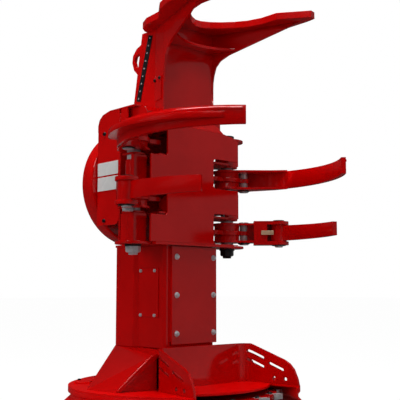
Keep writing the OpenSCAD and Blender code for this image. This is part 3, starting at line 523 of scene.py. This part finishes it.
# Pins of the arms: ground knee pins with turned caps, forged hexagon nuts with a chamfered crown
# over black hardened washers, and a long nut on the threaded foot of each arm shaft. The right
# foot nut is black, painted shade on the far side under the carrier; the others are plated.
def hexagon(bm, place, radius, height, chamfer):
    made = bmesh.ops.create_cone(
        bm, cap_ends=True, segments=6, radius1=radius, radius2=radius, depth=height,
    )
    bmesh.ops.translate(bm, verts=made["verts"], vec=(0, 0, height / 2))
    crown = [
        e for e in {e for v in made["verts"] for e in v.link_edges}
        if min(e.verts[0].co.z, e.verts[1].co.z) > height - 1e-6
    ]
    cut = bmesh.ops.bevel(
        bm, geom=crown, offset=chamfer, offset_type="OFFSET", segments=2, profile=0.5,
        affect="EDGES", material=-1,
    )
    shape = [v for v in {*made["verts"], *cut["verts"]} if v.is_valid]
    bmesh.ops.transform(bm, matrix=place, verts=shape)


def thread(radius, height):
    pitch = 0.0025
    root_r = radius - 0.0012
    end_r, end_chamfer = radius - 0.002, 0.001
    profile = [(0, 0)]
    z = 0.0
    while z + pitch < height - end_chamfer:
        profile += [(root_r, z), (radius, z + pitch / 2)]
        z += pitch
    return [*profile, (root_r, height - end_chamfer), (end_r, height), (0, height)]


pin_steel = coated(
    "ground_pin_steel", (0.66, 0.66, 0.66), (0.54, 0.54, 0.55), (0.20, 0.30), 0.10,
    metal=0.5, cloud_scale=12.0,
)
joint_at = {joint["name"]: joint["pos_m"] for joint in frame["joints"] if "pos_m" in joint}
arm_sides = (("left", -1), ("right", 1))
upper_above_lower = 0.320
knee_x, knee_y, knee_half = 0.445, -0.085, 0.058
shaft_foot_z, shaft_head_z = 0.9357, 1.6137
long_nut_h, thin_nut_h = 0.020, 0.006
knee_washer_t = 0.006
foot_washer_t = 0.010
foot_nut_h = 0.034
knee_pin = button(radius=0.025, height=2 * knee_half, chamfer=0.001)
knee_cap = button(radius=0.031, height=0.009, chamfer=0.003)
knee_washer = button(radius=0.036, height=knee_washer_t, chamfer=0.0015)
foot_washer = button(radius=0.046, height=foot_washer_t, chamfer=0.002)
head_washer = button(radius=0.046, height=0.012, chamfer=0.003)
for side, sign in arm_sides:
    shaft_x, shaft_y, low = joint_at[side + "_arms_swing"]
    nuts = bmesh.new()
    washers = bmesh.new()
    pins = bmesh.new()
    for z in (low, low + upper_above_lower):
        nut_h = long_nut_h if side == "left" and z == low else thin_nut_h
        knee_top = pointing((sign * knee_x, knee_y, z + knee_half), (0, 0, 1))
        knee_foot = pointing((sign * knee_x, knee_y, z - knee_half), (0, 0, -1))
        lathe(pins, further(knee_foot, -2 * knee_half), knee_pin)
        lathe(pins, knee_top, knee_cap)
        lathe(washers, knee_foot, knee_washer, steps=40)
        nut_seat = further(knee_foot, knee_washer_t)
        hexagon(nuts, nut_seat, radius=0.030, height=nut_h, chamfer=min(0.005, nut_h / 2))
    foot = pointing((shaft_x, shaft_y, shaft_foot_z), (0, 0, -1))
    head = pointing((shaft_x, shaft_y, shaft_head_z), (0, 0, 1))
    lathe(washers, foot, foot_washer, steps=48)
    lathe(washers, head, head_washer, steps=48)
    # The right foot nut goes in with the black washers: painted shade on the far side.
    foot_nut = nuts if side == "left" else washers
    hexagon(foot_nut, further(foot, foot_washer_t), radius=0.042, height=foot_nut_h, chamfer=0.009)
    thread_seat = further(foot, foot_washer_t + foot_nut_h)
    lathe(foot_nut, thread_seat, thread(radius=0.026, height=0.012), steps=40)
    body = side + "_arms"
    for piece in (
        make_piece(side + "_arm_nuts", nuts, bolt_zinc, body),
        make_piece(side + "_arm_washers", washers, black_oxide, body),
        make_piece(side + "_knee_pins", pins, pin_steel, body),
    ):
        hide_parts(side + "_arm_pins")


# Hinge pins of the tip arms: a ground pin with a black cap above the clevis, and a black washer
# and a plated nut below it.
clevis_half = 0.071
hinge_washer_t = 0.005
hinge_pin = button(radius=0.024, height=2 * clevis_half, chamfer=0.001)
hinge_cap = button(radius=0.034, height=0.008, chamfer=0.003)
hinge_washer = button(radius=0.042, height=hinge_washer_t, chamfer=0.0015)
for side in ("left", "right"):
    hinge_x, hinge_y, low = joint_at[side + "_tip_fold"]
    top = pointing((hinge_x, hinge_y, low + clevis_half), (0, 0, 1))
    foot = pointing((hinge_x, hinge_y, low - clevis_half), (0, 0, -1))
    pin_bm = bmesh.new()
    lathe(pin_bm, further(foot, -2 * clevis_half), hinge_pin)
    cap_bm = bmesh.new()
    lathe(cap_bm, top, hinge_cap, steps=40)
    lathe(cap_bm, foot, hinge_washer, steps=48)
    nut_bm = bmesh.new()
    hexagon(nut_bm, further(foot, hinge_washer_t), radius=0.026, height=0.009, chamfer=0.004)
    body = side + "_arms"
    for piece in (
        make_piece(side + "_hinge_pin", pin_bm, pin_steel, body),
        make_piece(side + "_hinge_washers", cap_bm, black_oxide, body),
        make_piece(side + "_hinge_nut", nut_bm, bolt_zinc, body),
    ):
        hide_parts(side + "_tip_pin")


# Edge bars of the upper arms: round bar rolled to the arm's curve and welded along the top edge of
# its outer face, so that a trunk slides over it. The bar rises a little from the tip to the root.
arc_r = 0.666
face_x, face_y, face_turn = 0.5386, -0.1275, math.radians(25)
arc_x = face_x - arc_r * math.cos(face_turn)
arc_y = face_y - arc_r * math.sin(face_turn)
arc_from = math.radians(-46.0)
arc_turn = math.radians(80.0)
bar_r = 0.011
bar_sunk = 0.005
bar_above_middle = 0.028
edge_rise = 0.014
rise_from_y = -0.900
for side, sign in arm_sides:
    high = joint_at[side + "_arms_swing"][2] + upper_above_lower
    bar = bmesh.new()
    section = bmesh.ops.create_circle(bar, cap_ends=False, segments=20, radius=bar_r)["verts"]
    stand_up = Matrix.Translation((arc_r - bar_sunk, 0, 0)) @ Matrix.Rotation(math.pi / 2, 4, "X")
    bmesh.ops.transform(bar, matrix=Matrix.Rotation(arc_from, 4, "Z") @ stand_up, verts=section)
    bmesh.ops.spin(
        bar, geom=[*bar.verts, *bar.edges], cent=(0, 0, 0), axis=(0, 0, 1), dvec=(0, 0, 0),
        angle=arc_turn, steps=56, use_merge=False, use_duplicate=False,
    )
    open_ends = [e for e in bar.edges if e.is_boundary]
    bmesh.ops.holes_fill(bar, edges=open_ends, sides=0)
    rising = Matrix.Identity(4)
    rising[2][1] = edge_rise
    height = high + bar_above_middle + edge_rise * (arc_y - rise_from_y)
    set_on_arm = Matrix.Translation((arc_x, arc_y, height)) @ rising
    bmesh.ops.transform(bar, matrix=set_on_arm, verts=bar.verts)
    if sign < 0:
        bmesh.ops.scale(bar, vec=(-1, 1, 1), verts=bar.verts)
    make_piece(side + "_arm_edge_bars", bar, red_paint, side + "_arms")


# Knee webs and lip plates of the lower arms: short flame-cut plates, one welded between the knee
# ears and the arm's block, and one that carries on the block's lip behind the hinge. Both take the
# darker red, painted shade between the parts.
knee_web = ((0.447, -0.105), (0.461, -0.101), (0.484, -0.133), (0.470, -0.146))
lip_plate = ((0.5725, -0.1785), (0.5825, -0.1685), (0.5974, -0.183), (0.5874, -0.1927))
lip_half = 0.056
for side, sign in arm_sides:
    low = joint_at[side + "_arms_swing"][2]
    webs = bmesh.new()
    for corners, half in ((knee_web, knee_half), (lip_plate, lip_half)):
        flat_plate(webs, [(sign * x, y, low - half) for x, y in corners], (0, 0, 2 * half))
    make_piece(side + "_arm_webs", webs, shaded_inner_red, side + "_arms")
